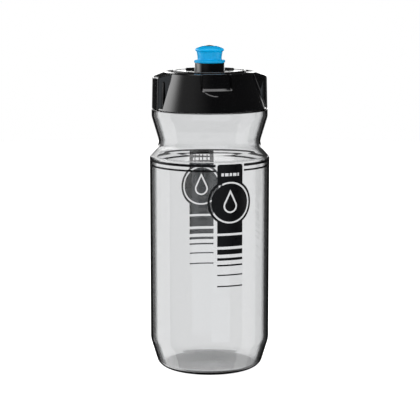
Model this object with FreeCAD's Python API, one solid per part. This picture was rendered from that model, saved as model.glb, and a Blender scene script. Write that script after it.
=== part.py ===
"""Bicycle squeeze bottle: bottle, screw cap, gasket, and a push-pull valve in three pieces.

Millimetres, +Z up, the origin is on the axis at the plane that the bottle stands on.  The cap's
panels face azimuth PANEL_AZIMUTH, counted from -Y towards +X, and the cap repeats every half turn.
"""
import os

import FreeCAD, Part
from FreeCAD import Vector
from math import cos, hypot, radians, sin, tan

# ---------------------------------------------------------------- driving dimensions
# bottle
BODY_R = 37.0              # a standard 74 mm bottle for a bicycle cage
WALL = 1.4
FOOT_IN_R = 22.5           # the foot ring runs from here to the base corner
PUSH_UP = 0.6              # height of the base's middle over the foot
PUSH_UP_ROUND = 20.0
BASE_CORNER_R = 6.26
BASE_CONE_TOP = 17.4
BASE_CONE_SLOPE = 0.305    # radius gained per unit of height
SHOULDER_Z = 133.13
WAIST_R = 7.1              # rounding of the waist, where the cage tab clicks in
WAIST_CORNER = (30.61, 140.04)
UPPER_R = 35.75
UPPER_SLOPE = 0.30
RIM_Z = 161.9              # flat top of the shoulder, under the cap
NECK_R = 26.8
NECK_TOP = 174.0
MOUTH_R = NECK_R - WALL

# screw thread, right-handed, one start
PITCH = 5.0
NECK_THREAD_CREST_R = 28.0
NECK_THREAD_TURNS = 1.25
NECK_THREAD_Z = 165.6      # middle of the ridge where it starts
CAP_THREAD_CREST_R = 27.3
CAP_THREAD_TURNS = 1.25
CAP_THREAD_DROP = 1.95     # the cap's ridge hangs this far under the neck's
RIDGE_ROOT = 1.1           # half width of a ridge at its root
RIDGE_CREST = 0.4          # half width of a ridge at its crest
RIDGE_SINK = 0.4           # how far a ridge reaches into its wall

# cap
CAP_Z = 162.3
CAP_BORE_R = 28.4
CEILING_Z = 175.5          # seat of the gasket
SKIRT_R = 30.1             # outside of the threaded inner skirt
LUG_R = 35.55
LUG_TOP_R = 35.1
LUG_TOP_Z = 182.0
LUG_ROUND = 3.0
RIDGE_R = 28.3             # highest ring of the deck's outer edge
RIDGE_Z = 184.5
DECK_R = 22.3
DECK_Z = 183.8
EDGE_ROUND = 0.6
LUG_EDGE_ROUND = 0.5
PANEL_AZIMUTH = 11.0
PANEL_R = 35.05            # panel cone at the cap's lower edge
PANEL_SLOPE = -1.0 / 3.0
PANEL_RAISE = 0.6          # the left half of a panel stands proud of the right half
PANEL_HALF_ANGLE = 64.3
LUG_FACE = 20.07           # distance of a lug's flat side face from the axis
LUG_FACE_TURN = 18.6       # how far that face's normal is turned off the panel's middle
SEAM_CHAMFER_TURN = 13.0
SIDE_POCKET_DEPTH = 1.8
SIDE_POCKET_Z = 163.4

# finger notch at the top of each panel
NOTCH_ANGLES = (-19.9, 17.9)   # from the panel's middle, at the lip
NOTCH_SIDE_LEAN = 2.0          # degrees by which its right side leans out towards the deck
NOTCH_FLOOR_Z = 176.1          # where the floor meets the slanting lip
NOTCH_LIP_SLOPE = -0.577       # fall of the lip per unit of radius
NOTCH_DEPTH = 1.5
NOTCH_REACH_R = 45.0           # the cutting shapes run out to here, past everything
FACET_REACH = 3.0              # how far inside the floor's cone the facet may cut
FACET_TURN = 17.0              # the right end of the floor is a flat facet, turned this far
FACET_DISTANCE = 28.33         # distance of the facet's plane from the axis at the lip
FACET_SLOPE = -0.27

# curved upper end of the raised left half, as (across, height) seen square on
RAISED_EDGE = ((0.0, 172.0), (-6.4, 172.95), (-10.6, 176.3))

# dish and spout collar on the deck
DISH_R = 22.3
DISH_WALL = 1.2
DISH_TOP = 185.6
DISH_FLOOR = (184.9, 184.3)    # height of its floor at the wall and at the collar
PANEL_DECK_Z = 185.0           # height of the panels' deck where it meets the dish
DECK_UNDER = 182.2
CAVITY_R = 22.6
DRAIN_GAP = (94.0, 137.0)      # azimuths of one of the two gaps in the dish's rim
COLLAR_R = 9.2
COLLAR_BORE_R = 8.0
COLLAR_TOP = 190.0
COLLAR_LIP_R = 7.38
COLLAR_LIP = 1.2
BOSS_R = 9.6
BOSS_Z = 176.6
PANEL_SKIN = 3.4               # plastic left between a panel and the groove round the threaded skirt
LUG_SKIN = 2.1                 # plastic left round the cores of the lugs
LUG_CORE_TOP = 179.5
LUG_RIB = 1.4

# gasket
SEAL_R = (23.6, 27.9)

# valve core
HUB_R = 6.2
HUB_HEIGHT = 2.4
POST_R = 2.2
TIP_R = 3.3
TIP_Z = 198.7
TIP_EDGE_Z = 199.95            # the tip's dome starts here
TIP_TOP = 200.7
SPOKES = 3
SPOKE_WIDTH = 1.8

# nozzle
STROKE = 6.0
PISTON_R = 7.8
PISTON_Z = 180.0
SKIRT_NOZZLE_R = 7.3
NOZZLE_BORE_R = 5.4
ORIFICE_R = 3.4
FLANGE_R = 9.5
FLANGE_TOP = 191.9
THROAT = ((7.1, 192.2, 0.5), (7.2, 193.6, 6.0), (7.75, 196.9, 0.5))   # the neck over the flange
HEAD_R = 9.25
HEAD_Z = 198.1
HEAD_CROWN_R = 6.4             # radius at which the head's top turns level
NOZZLE_TOP = 200.2
RING_R = 0.72              # section radius of the O-ring
RING_MIDDLE_R = 7.22
RING_Z = 181.3
GROOVE_WIDTH = 1.5


# ---------------------------------------------------------------- helpers
def spin(angle, shape):
    """A copy of shape turned about the Z axis by angle, in degrees."""
    turned = shape.copy()
    turned.rotate(Vector(0, 0, 0), Vector(0, 0, 1), angle)
    return turned


def facing(azimuth, distance=1.0, z=0.0):
    """The point at this azimuth, which counts from -Y towards +X."""
    return Vector(distance * sin(radians(azimuth)), -distance * cos(radians(azimuth)), z)


def rounded_wire(corners):
    """A closed wire through corners (r, z) or (r, z, radius) in the XZ plane."""
    count = len(corners)
    points = [Vector(c[0], 0, c[1]) for c in corners]
    ends = []
    edges = []
    for i, corner in enumerate(corners):
        here = points[i]
        back = points[i - 1] - here
        ahead = points[(i + 1) % count] - here
        radius = corner[2] if len(corner) > 2 else 0.0
        if radius <= 0.0:
            ends.append((here, here))
            continue
        half = back.getAngle(ahead) / 2
        reach = radius / tan(half)
        start = here + back.normalize() * reach
        end = here + ahead.normalize() * reach
        middle_way = (back + ahead).normalize()
        middle = here + middle_way * (radius / sin(half) - radius)
        ends.append((start, end))
        edges.append(Part.Arc(start, middle, end).toShape())
    for i in range(count):
        start = ends[i][1]
        end = ends[(i + 1) % count][0]
        if (end - start).Length > 1e-6:
            edges.append(Part.LineSegment(start, end).toShape())
    return Part.Wire(Part.__sortEdges__(edges))


def lathe(corners):
    """A solid of revolution about the Z axis."""
    face = Part.Face(rounded_wire(corners))
    return face.revolve(Vector(0, 0, 0), Vector(0, 0, 1), 360)


def inset(corners, distance):
    """The open outline moved to its left by distance, with its roundings kept concentric."""
    lines = []
    for (r0, z0, *_), (r1, z1, *_) in zip(corners, corners[1:]):
        length = hypot(r1 - r0, z1 - z0)
        along = ((r1 - r0) / length, (z1 - z0) / length)
        lines.append((r0 - along[1] * distance, z0 + along[0] * distance, *along))
    moved = [(corners[0][0], lines[0][1])]
    for (r0, z0, ur, uz), (r1, z1, vr, vz), corner in zip(lines, lines[1:], corners[1:]):
        cross = ur * vz - uz * vr
        step = ((r1 - r0) * vz - (z1 - z0) * vr) / cross
        radius = corner[2] if len(corner) > 2 else 0.0
        radius = radius - distance if cross > 0 else radius + distance
        moved.append((r0 + ur * step, z0 + uz * step, max(radius, 0.3)))
    moved.append((lines[-1][0], corners[-1][1]))
    return moved


def ridge(root_r, crest_r, middle_z, turns, start_azimuth):
    """A helical thread ridge of trapezoid section, its root sunk into the wall behind it."""
    outward = 1 if crest_r > root_r else -1
    root = root_r - outward * RIDGE_SINK
    slope = (RIDGE_ROOT - RIDGE_CREST) / abs(crest_r - root_r)
    half_root = RIDGE_ROOT + slope * RIDGE_SINK
    profile = Part.makePolygon([
        Vector(root, 0, -half_root),
        Vector(crest_r, 0, -RIDGE_CREST),
        Vector(crest_r, 0, RIDGE_CREST),
        Vector(root, 0, half_root),
        Vector(root, 0, -half_root),
    ])
    path = Part.Wire(Part.makeLongHelix(PITCH, PITCH * turns, root).Edges)
    solid = path.makePipeShell([profile], True, True)
    solid.translate(Vector(0, 0, middle_z))
    return spin(start_azimuth, solid)


def half_space(azimuth, distance, slope=0.0, at_z=0.0):
    """A large block on the axis side of a plane.

    At height at_z the plane stands this distance from the axis, square to azimuth, and it gains
    slope times the height.
    """
    reach = 90.0
    low = 100.0
    high = 220.0
    outline = [
        Vector(-reach, -(distance + slope * (low - at_z)), low),
        Vector(-reach, reach, low),
        Vector(-reach, reach, high),
        Vector(-reach, -(distance + slope * (high - at_z)), high),
    ]
    face = Part.Face(Part.makePolygon(outline + outline[:1]))
    return spin(azimuth, face.extrude(Vector(2 * reach, 0, 0)))


def wedge(azimuth_from, azimuth_to, radius, low, high):
    """A sector of a cylinder between two azimuths."""
    sector = Part.makeCylinder(radius, high - low, Vector(0, 0, low), Vector(0, 0, 1),
                               azimuth_to - azimuth_from)
    return spin(azimuth_from - 90.0, sector)


def both_sides(tool):
    """The tool and its copy half a turn away."""
    return [tool, spin(180.0, tool)]


# ---------------------------------------------------------------- bottle
def bottle_outline():
    """Outside of the bottle from the middle of the base to the mouth."""
    base_corner = BODY_R - BASE_CONE_SLOPE * BASE_CONE_TOP
    upper_cone_z = WAIST_CORNER[1] + (UPPER_R - WAIST_CORNER[0]) / UPPER_SLOPE
    return [
        (0.0, PUSH_UP),
        (FOOT_IN_R, 0.0, PUSH_UP_ROUND),
        (base_corner, 0.0, BASE_CORNER_R),
        (BODY_R, BASE_CONE_TOP, 12.0),
        (BODY_R, SHOULDER_Z, 2.0),
        (*WAIST_CORNER, WAIST_R),
        (UPPER_R, upper_cone_z, 8.0),
        (UPPER_R, RIM_Z, 1.2),
        (NECK_R, RIM_Z, 0.8),
        (NECK_R, NECK_TOP),
    ]


def bottle_body():
    outside = bottle_outline()
    inside = inset(outside, WALL)
    skin = lathe(outside[:-1] + [(NECK_R, NECK_TOP, 0.3), (MOUTH_R, NECK_TOP, 0.3)]
                 + inside[-2:0:-1] + [inside[0]])
    thread = ridge(NECK_R, NECK_THREAD_CREST_R, NECK_THREAD_Z, NECK_THREAD_TURNS, 0.0)
    return skin.fuse(thread).removeSplitter()


# ---------------------------------------------------------------- cap
def panel_cone(offset):
    """The cone of a panel, moved outwards by offset, up to the deck."""
    top_r = PANEL_R + offset + PANEL_SLOPE * (RIDGE_Z - CAP_Z)
    return lathe([
        (0.0, CAP_Z),
        (PANEL_R + offset, CAP_Z, 0.3),
        (top_r, RIDGE_Z, EDGE_ROUND),
        (DISH_R, PANEL_DECK_Z),
        (0.0, PANEL_DECK_Z),
    ])


def lug_roof(distance):
    """What lies behind the four flat side faces of the lugs, for faces at this distance."""
    roof = half_space(LUG_FACE_TURN, distance)
    for azimuth in (-LUG_FACE_TURN, 180.0 - LUG_FACE_TURN, 180.0 + LUG_FACE_TURN):
        roof = roof.common(half_space(azimuth, distance))
    return roof


def on_lug_face(edge):
    """Whether an edge lies in one of the lugs' four flat side faces."""
    span = edge.LastParameter - edge.FirstParameter
    points = [edge.valueAt(edge.FirstParameter + span * step / 4) for step in range(5)]
    for azimuth in (LUG_FACE_TURN, -LUG_FACE_TURN, 180.0 - LUG_FACE_TURN, 180.0 + LUG_FACE_TURN):
        if all(abs(point.dot(facing(azimuth)) - LUG_FACE) < 1e-3 for point in points):
            return True
    return False


def lugs():
    """The two lugs, joined through the middle, with the edges of their side faces rounded."""
    solid = lathe([
        (0.0, CAP_Z),
        (LUG_R, CAP_Z),
        (LUG_TOP_R, LUG_TOP_Z, LUG_ROUND),
        (RIDGE_R, RIDGE_Z, 1.0),
        (DECK_R, DECK_Z),
        (0.0, DECK_Z),
    ]).common(lug_roof(LUG_FACE))
    outer_edges = []
    for edge in solid.Edges:
        middle = edge.CenterOfMass
        if on_lug_face(edge) and middle.z > CAP_Z + 1.0 and hypot(middle.x, middle.y) > 24.0:
            outer_edges.append(edge)
    return solid.makeFillet(LUG_EDGE_ROUND, outer_edges)


def raised_panel():
    """The proud left half of a panel, chamfered down to the right half at the seam."""
    reach = 60.0
    seam_top, bend, left_end = [Vector(x, -reach, z) for x, z in RAISED_EDGE]
    corners = [
        left_end,
        Vector(left_end.x, -reach, CAP_Z + reach),
        Vector(-reach, -reach, CAP_Z + reach),
        Vector(-reach, -reach, CAP_Z - reach),
        Vector(seam_top.x, -reach, CAP_Z - reach),
        seam_top,
    ]
    edges = [Part.LineSegment(a, b).toShape() for a, b in zip(corners, corners[1:])]
    edges.append(Part.Arc(seam_top, bend, left_end).toShape())
    window = Part.Face(Part.Wire(edges)).extrude(Vector(0, reach, 0))
    turn = cos(radians(SEAM_CHAMFER_TURN))
    chamfer = half_space(SEAM_CHAMFER_TURN, PANEL_R * turn, PANEL_SLOPE * turn, CAP_Z)
    sector = wedge(-PANEL_HALF_ANGLE, 45.0, reach, CAP_Z - 1.0, RIDGE_Z + 5.0)
    return panel_cone(PANEL_RAISE).common(window).common(chamfer).common(sector)


def notch():
    """The finger notch at a panel's top: a floor with a facet at its right, over a slanting lip."""
    top_z = RIDGE_Z + 5.0
    lean = PANEL_SLOPE * (top_z - NOTCH_FLOOR_Z)
    low_r = PANEL_R - NOTCH_DEPTH + PANEL_SLOPE * (NOTCH_FLOOR_Z - CAP_Z)
    ring = lathe([
        (low_r, NOTCH_FLOOR_Z),
        (NOTCH_REACH_R, NOTCH_FLOOR_Z + NOTCH_LIP_SLOPE * (NOTCH_REACH_R - low_r)),
        (NOTCH_REACH_R, top_z),
        (low_r + lean, top_z),
    ])
    left, right = NOTCH_ANGLES
    facet_end = half_space(FACET_TURN, FACET_DISTANCE, FACET_SLOPE, NOTCH_FLOOR_Z)
    deep = lathe([
        (low_r - FACET_REACH, NOTCH_FLOOR_Z),
        (low_r + 1.0, NOTCH_FLOOR_Z),
        (low_r + 1.0 + lean, top_z),
        (low_r - FACET_REACH + lean, top_z),
    ]).cut(facet_end)
    tool = ring.fuse(deep).common(wedge(left, right, 60.0, NOTCH_FLOOR_Z - 10.0, top_z))
    leaning = sin(radians(NOTCH_SIDE_LEAN))
    side = half_space(right + 90.0 - NOTCH_SIDE_LEAN, 0.0, leaning, NOTCH_FLOOR_Z)
    return tool.common(side)


def side_pockets():
    """The two narrow pockets of one panel, between its edges and the lugs' side faces."""
    height = RIDGE_Z - SIDE_POCKET_Z
    low_r = PANEL_R - SIDE_POCKET_DEPTH + PANEL_SLOPE * (SIDE_POCKET_Z - CAP_Z)
    floor = Part.makeCone(low_r, low_r + PANEL_SLOPE * height, height, Vector(0, 0, SIDE_POCKET_Z))
    pockets = []
    for edge_from, edge_to in ((-85.0, -PANEL_HALF_ANGLE), (PANEL_HALF_ANGLE, 85.0)):
        sector = wedge(edge_from, edge_to, 60.0, SIDE_POCKET_Z, RIDGE_Z)
        pockets.append(sector.cut(lug_roof(LUG_FACE)).cut(floor))
    return pockets


def dish():
    """The dish on the deck with its rim, open at two drain gaps."""
    inner_r = DISH_R - DISH_WALL
    rim = lathe([
        (inner_r, DECK_Z - 0.5),
        (DISH_R, DECK_Z - 0.5),
        (DISH_R, DISH_TOP, 0.45),
        (inner_r, DISH_TOP, 0.45),
    ])
    low, high = DRAIN_GAP
    for start, end in ((low, high), (-high, -low)):
        rim = rim.cut(wedge(start, end, 40.0, DECK_Z + 0.4, DISH_TOP + 1.0))
    floor = lathe([
        (0.0, DECK_Z - 1.0),
        (inner_r + 0.2, DECK_Z - 1.0),
        (inner_r + 0.2, DISH_FLOOR[0]),
        (COLLAR_R, DISH_FLOOR[1]),
        (0.0, DISH_FLOOR[1]),
    ])
    return rim.fuse(floor)


def cap_inside():
    """Everything that is hollow in the cap: bore, cavity, mould core-outs and the spout's bore."""
    bore = lathe([
        (0.0, CAP_Z - 1.0),
        (CAP_BORE_R, CAP_Z - 1.0),
        (CAP_BORE_R, CEILING_Z, 0.4),
        (CAVITY_R, CEILING_Z),
        (CAVITY_R, DECK_UNDER, 1.5),
        (BOSS_R, DECK_UNDER, 0.8),
        (BOSS_R, BOSS_Z),
        (0.0, BOSS_Z),
    ])
    spout = lathe([
        (0.0, BOSS_Z - 1.0),
        (COLLAR_BORE_R, BOSS_Z - 1.0),
        (COLLAR_BORE_R, COLLAR_TOP - COLLAR_LIP),
        (COLLAR_LIP_R, COLLAR_TOP - COLLAR_LIP),
        (COLLAR_LIP_R, COLLAR_TOP + 1.0),
        (0.0, COLLAR_TOP + 1.0),
    ])
    groove_top = CAP_Z + (SKIRT_R + PANEL_SKIN - PANEL_R) / PANEL_SLOPE
    groove = lathe([
        (SKIRT_R, CAP_Z - 1.0),
        (PANEL_R - PANEL_SKIN - PANEL_SLOPE, CAP_Z - 1.0),
        (SKIRT_R + 0.3, groove_top - 1.0, 0.2),
        (SKIRT_R, groove_top - 1.0),
    ])
    lug_core = lathe([
        (SKIRT_R, CAP_Z - 1.0),
        (LUG_R - LUG_SKIN, CAP_Z - 1.0),
        (LUG_TOP_R - LUG_SKIN, LUG_CORE_TOP, 1.5),
        (SKIRT_R, LUG_CORE_TOP, 0.8),
    ]).common(lug_roof(LUG_FACE - LUG_SKIN))
    rib = Part.makeBox(2 * LUG_R, LUG_RIB, 40.0, Vector(-LUG_R, -LUG_RIB / 2, CAP_Z - 5.0))
    return [bore, spout, groove, lug_core.cut(rib)]


def cap_shell():
    over_lugs = lug_roof(LUG_FACE)
    over_lugs.translate(Vector(0, 0, DECK_Z - over_lugs.BoundBox.ZMin))
    panels = panel_cone(0.0).cut(over_lugs)
    solid = lugs().fuse([panels] + both_sides(raised_panel()))
    for tool in both_sides(notch()):
        solid = solid.cut(tool)
    for pocket in side_pockets():
        for tool in both_sides(pocket):
            solid = solid.cut(tool)
    solid = spin(PANEL_AZIMUTH, solid)
    collar = lathe([
        (0.0, DECK_Z - 1.0),
        (COLLAR_R, DECK_Z - 1.0),
        (COLLAR_R, COLLAR_TOP, 0.3),
        (0.0, COLLAR_TOP),
    ])
    hollow = Part.makeCylinder(DISH_R - 0.5, 20.0, Vector(0, 0, DECK_Z))
    solid = solid.cut(hollow).fuse([dish(), collar])
    for tool in cap_inside():
        solid = solid.cut(spin(PANEL_AZIMUTH, tool))
    thread_z = NECK_THREAD_Z + PITCH / 2 - CAP_THREAD_DROP
    thread = ridge(CAP_BORE_R, CAP_THREAD_CREST_R, thread_z, CAP_THREAD_TURNS, 180.0)
    return solid.fuse(thread).removeSplitter()


def cap_seal():
    inner_r, outer_r = SEAL_R
    return lathe([
        (inner_r, NECK_TOP, 0.3),
        (outer_r, NECK_TOP, 0.3),
        (outer_r, CEILING_Z, 0.3),
        (inner_r, CEILING_Z, 0.3),
    ])


# ---------------------------------------------------------------- valve
def valve_core():
    """Hub ring pressed into the cap's boss, spokes, and the post with its domed sealing tip."""
    hub = lathe([
        (HUB_R, BOSS_Z),
        (COLLAR_BORE_R, BOSS_Z),
        (COLLAR_BORE_R, BOSS_Z + HUB_HEIGHT, 0.3),
        (HUB_R, BOSS_Z + HUB_HEIGHT, 0.3),
    ])
    post = lathe([
        (0.0, BOSS_Z),
        (POST_R + 0.4, BOSS_Z, 0.3),
        (POST_R, TIP_Z - 2.0, 1.0),
        (TIP_R, TIP_Z, 0.5),
        (TIP_R, TIP_TOP),
        (0.0, TIP_TOP),
    ])
    rise = TIP_TOP - TIP_EDGE_Z
    dome_r = (TIP_R * TIP_R + rise * rise) / (2 * rise)
    post = post.common(Part.makeCylinder(TIP_R + 1.0, TIP_Z - BOSS_Z, Vector(0, 0, BOSS_Z)).fuse(
        Part.makeSphere(dome_r, Vector(0, 0, TIP_TOP - dome_r))))
    spokes = []
    for i in range(SPOKES):
        spoke = Part.makeBox(HUB_R + 0.6, SPOKE_WIDTH, HUB_HEIGHT - 0.6,
                             Vector(0, -SPOKE_WIDTH / 2, BOSS_Z + 0.3))
        spokes.append(spin(i * 360.0 / SPOKES + PANEL_AZIMUTH, spoke))
    return hub.fuse([post] + spokes).removeSplitter()


def nozzle():
    """Mouthpiece: head, neck, flange, the skirt in the collar and the piston that keeps it in."""
    groove_low = RING_Z - GROOVE_WIDTH / 2
    groove_high = RING_Z + GROOVE_WIDTH / 2
    groove_r = RING_MIDDLE_R - RING_R
    piston_top = COLLAR_TOP - COLLAR_LIP - STROKE - 0.2
    return lathe([
        (NOZZLE_BORE_R, PISTON_Z, 0.2),
        (PISTON_R, PISTON_Z, 0.15),
        (PISTON_R, groove_low, 0.1),
        (groove_r, groove_low),
        (groove_r, groove_high),
        (PISTON_R, groove_high, 0.1),
        (PISTON_R, piston_top, 0.15),
        (SKIRT_NOZZLE_R, piston_top),
        (SKIRT_NOZZLE_R, COLLAR_TOP),
        (FLANGE_R - 0.1, COLLAR_TOP, 0.35),
        (FLANGE_R, FLANGE_TOP, 0.3),
        *THROAT,
        (HEAD_R, HEAD_Z, 0.5),
        (HEAD_CROWN_R, NOZZLE_TOP - 0.65, 4.0),
        (ORIFICE_R + 0.9, NOZZLE_TOP, 1.2),
        (ORIFICE_R, NOZZLE_TOP, 0.3),
        (ORIFICE_R, TIP_Z + 0.1, 0.3),
        (NOZZLE_BORE_R, TIP_Z - 2.6, 1.0),
    ])


def nozzle_seal():
    return Part.makeTorus(RING_MIDDLE_R, RING_R, Vector(0, 0, RING_Z))


# ---------------------------------------------------------------- output
NODES = {
    "bottle_body": bottle_body,
    "cap_shell": cap_shell,
    "cap_seal": cap_seal,
    "valve_core": valve_core,
    "nozzle": nozzle,
    "nozzle_seal": nozzle_seal,
}

os.makedirs("parts", exist_ok=True)
for name, make in NODES.items():
    shape = make()
    print(name, "valid", shape.isValid(), "solids", len(shape.Solids), "volume", round(shape.Volume))
    shape.exportStep("parts/" + name + ".step")
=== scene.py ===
"""Looks of the bicycle squeeze bottle, in metres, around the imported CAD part."""

from math import cos, degrees, hypot, pi, radians, sin, tan

import bmesh
import bpy
import numpy as np
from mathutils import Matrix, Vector
from mathutils.geometry import tessellate_polygon

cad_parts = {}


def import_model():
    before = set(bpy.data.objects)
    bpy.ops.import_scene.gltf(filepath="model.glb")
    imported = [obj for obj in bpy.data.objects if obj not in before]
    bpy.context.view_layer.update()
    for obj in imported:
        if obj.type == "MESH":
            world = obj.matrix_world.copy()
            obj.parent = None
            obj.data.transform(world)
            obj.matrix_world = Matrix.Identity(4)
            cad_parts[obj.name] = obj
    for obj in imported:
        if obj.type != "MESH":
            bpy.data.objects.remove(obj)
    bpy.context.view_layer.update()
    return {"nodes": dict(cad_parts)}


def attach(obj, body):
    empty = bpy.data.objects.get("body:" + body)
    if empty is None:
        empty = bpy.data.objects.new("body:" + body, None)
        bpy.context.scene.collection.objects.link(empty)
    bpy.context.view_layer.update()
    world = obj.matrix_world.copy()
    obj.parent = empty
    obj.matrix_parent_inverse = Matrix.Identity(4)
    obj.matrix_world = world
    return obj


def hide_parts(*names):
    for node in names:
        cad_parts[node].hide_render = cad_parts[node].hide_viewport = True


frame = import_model()
MM = 0.001

# ---------------------------------------------------------------- dimensions, in millimetres
BODY_R = 37.0
WALL = 1.4
NECK_R = 26.8
NECK_TOP = 174.0
MOUTH_R = NECK_R - WALL
MOUTH_ROUND = 0.3
RIM_Z = 162.2
RIM_DEPTH = 3.0            # the inside's corners this close under the rim move up with it
RIM_THIN = 0.8             # how much thinner than the wall the level part round the neck is
BOTTLE_OUTLINE = (
    (0.0, 0.6),
    (22.5, 0.0, 20.0),
    (31.693, 0.0, 6.26),
    (BODY_R, 17.4, 12.0),
    (BODY_R, 133.13, 2.0),
    (30.61, 140.04, 7.1),
    (35.75, 157.173, 8.0),
    (35.75, 161.9, 0.4),
    (34.7, RIM_Z),
    (NECK_R, RIM_Z, 0.8),
    (NECK_R, NECK_TOP),
)
INSIDE_ROUND = 0.3         # the smallest rounding inside
BOTTLE_COLUMNS = 256
BOTTLE_STEP = 5.0          # degrees between the points of a rounding
BOTTLE_LONGEST = 6.0       # longest step along the outline
NECK_LONGEST = 0.16        # the same on the neck, where the thread needs short steps

PITCH = 5.0
THREAD_Z = 165.6           # height at which the neck's thread starts
THREAD_TURNS = 1.25
THREAD_HEIGHT = 1.2
THREAD_REACH = 1.1         # half of the thread's width at its foot
THREAD_FLANK = 0.7         # width of each slope, the rest is the crest
THREAD_RUN_OUT = 0.03      # share of a turn over which each end of the thread dies out


# ---------------------------------------------------------------- outlines and meshes
def rounded(corners, step=6.0):
    """Points along an open outline of corners (r, z) or (r, z, radius), one every step degrees of turn."""
    points = [np.array(corners[0][:2], float)]
    for before, corner, after in zip(corners, corners[1:], corners[2:]):
        here = np.array(corner[:2], float)
        radius = corner[2] if len(corner) > 2 else 0.0
        if radius <= 0.0:
            points.append(here)
            continue
        back = np.array(before[:2], float) - here
        ahead = np.array(after[:2], float) - here
        back /= np.linalg.norm(back)
        ahead /= np.linalg.norm(ahead)
        half = np.arccos(np.clip(back @ ahead, -1, 1)) / 2
        middle_way = (back + ahead) / np.linalg.norm(back + ahead)
        centre = here + middle_way * radius / sin(half)
        start = here + back * radius / tan(half) - centre
        turn = pi - 2 * half
        sign = 1.0 if start[1] * back[0] - start[0] * back[1] > 0 else -1.0
        count = max(2, int(degrees(turn) / step) + 1)
        for a in np.linspace(0.0, turn * sign, count + 1):
            spun = np.array([start[0] * cos(a) - start[1] * sin(a), start[0] * sin(a) + start[1] * cos(a)])
            points.append(centre + spun)
    points.append(np.array(corners[-1][:2], float))
    return np.array(points)


def inset(corners, distance):
    """The open outline moved to its left by distance, with its roundings kept concentric."""
    lines = []
    for (r0, z0, *_), (r1, z1, *_) in zip(corners, corners[1:]):
        length = hypot(r1 - r0, z1 - z0)
        along = ((r1 - r0) / length, (z1 - z0) / length)
        lines.append((r0 - along[1] * distance, z0 + along[0] * distance, *along))
    moved = [(corners[0][0], lines[0][1])]
    for (r0, z0, ur, uz), (r1, z1, vr, vz), corner in zip(lines, lines[1:], corners[1:]):
        cross = ur * vz - uz * vr
        step = ((r1 - r0) * vz - (z1 - z0) * vr) / cross
        radius = corner[2] if len(corner) > 2 else 0.0
        radius = radius - distance if cross > 0 else radius + distance
        moved.append((r0 + ur * step, z0 + uz * step, max(radius, INSIDE_ROUND)))
    moved.append((lines[-1][0], corners[-1][1]))
    return moved


def densified(points, longest):
    """The same line with extra points, so that no step is longer than this."""
    out = [points[0]]
    for a, b in zip(points, points[1:]):
        count = max(1, int(np.ceil(np.linalg.norm(b - a) / longest)))
        for i in range(1, count + 1):
            out.append(a + (b - a) * i / count)
    return np.array(out)


def grid_mesh(name, rings, closed_path=False):
    """A mesh from an array of points (path, round, 3) in millimetres; rings of no radius close to a point."""
    rows, columns = rings.shape[:2]
    vertices = rings.reshape(-1, 3) * MM
    is_point = np.ptp(rings, axis=1).max(axis=1) < 1e-9
    faces = []
    for i in range(rows if closed_path else rows - 1):
        following = (i + 1) % rows
        a = i * columns
        b = following * columns
        for j in range(columns):
            k = (j + 1) % columns
            if is_point[i]:
                faces.append((a, b + k, b + j))
            elif is_point[following]:
                faces.append((a + j, a + k, b))
            else:
                faces.append((a + j, a + k, b + k, b + j))
    mesh = bpy.data.meshes.new(name)
    mesh.from_pydata(vertices.tolist(), [], faces)
    mesh.validate()
    mesh.update()
    mesh.shade_smooth()
    made = bpy.data.objects.new(name, mesh)
    bpy.context.scene.collection.objects.link(made)
    return made


def turned(points, count):
    """The rings that points (r, z) make round the Z axis."""
    angles = np.linspace(0.0, 2 * pi, count, endpoint=False)
    r = points[:, 0][:, None]
    z = points[:, 1][:, None]
    return np.stack([r * np.cos(angles), r * np.sin(angles), z + 0 * angles], axis=2)


def drop_loose(made):
    """Takes away the doubled points of rings that closed to a point."""
    work = bmesh.new()
    work.from_mesh(made.data)
    bmesh.ops.delete(work, geom=[v for v in work.verts if not v.link_faces], context="VERTS")
    work.to_mesh(made.data)
    work.free()
    return made


def lathe(name, corners, columns=128):
    """A closed piece turned about the Z axis from a closed outline of corners."""
    points = rounded([corners[-1], *corners, corners[0]])[1:-1]
    return grid_mesh(name, turned(points, columns), closed_path=True)


def smooth_step(value, low, high):
    """0 up to low and 1 from high on, with a smooth rise between."""
    share = np.clip((value - low) / (high - low), 0.0, 1.0)
    return share * share * (3 - 2 * share)


def thread_laps(turns, z, start_z):
    """For each lap of a thread: its size near its ends and how far up its slope z is, both from 0 to 1."""
    for lap in (0, 1):
        along = turns + lap
        size = np.clip(np.minimum(along, THREAD_TURNS - along) / THREAD_RUN_OUT, 0.0, 1.0)
        away = np.abs(z - (start_z + PITCH * along))
        yield size, np.clip((THREAD_REACH - away) / THREAD_FLANK, 0.0, 1.0)


# ---------------------------------------------------------------- bottle
def bottle_path():
    """The line (r, z) that the bottle is turned from: up its outside, over the mouth and down its inside."""
    outside = rounded(BOTTLE_OUTLINE, BOTTLE_STEP)
    inner = []
    for r, z, *radius in inset(BOTTLE_OUTLINE, WALL):
        lift = RIM_THIN if RIM_Z - RIM_DEPTH < z < RIM_Z else 0.0
        inner.append((r, z + lift, *radius))
    inside = rounded(inner, BOTTLE_STEP)
    near = 0.01
    on_neck = (outside[:, 1] > RIM_Z - near) & (outside[:, 0] < NECK_R + near)
    neck_ends = np.array([outside[on_neck][0], (NECK_R, NECK_TOP - MOUTH_ROUND)])
    mouth = rounded([
        (NECK_R, NECK_TOP - 1.0),
        (NECK_R, NECK_TOP, MOUTH_ROUND),
        (MOUTH_R, NECK_TOP, MOUTH_ROUND),
        (MOUTH_R, NECK_TOP - 1.0),
    ], 20.0)[1:-1]
    path = np.concatenate([outside[~on_neck], densified(neck_ends, NECK_LONGEST), mouth, inside[::-1][1:]])
    return densified(path, BOTTLE_LONGEST)


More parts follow.
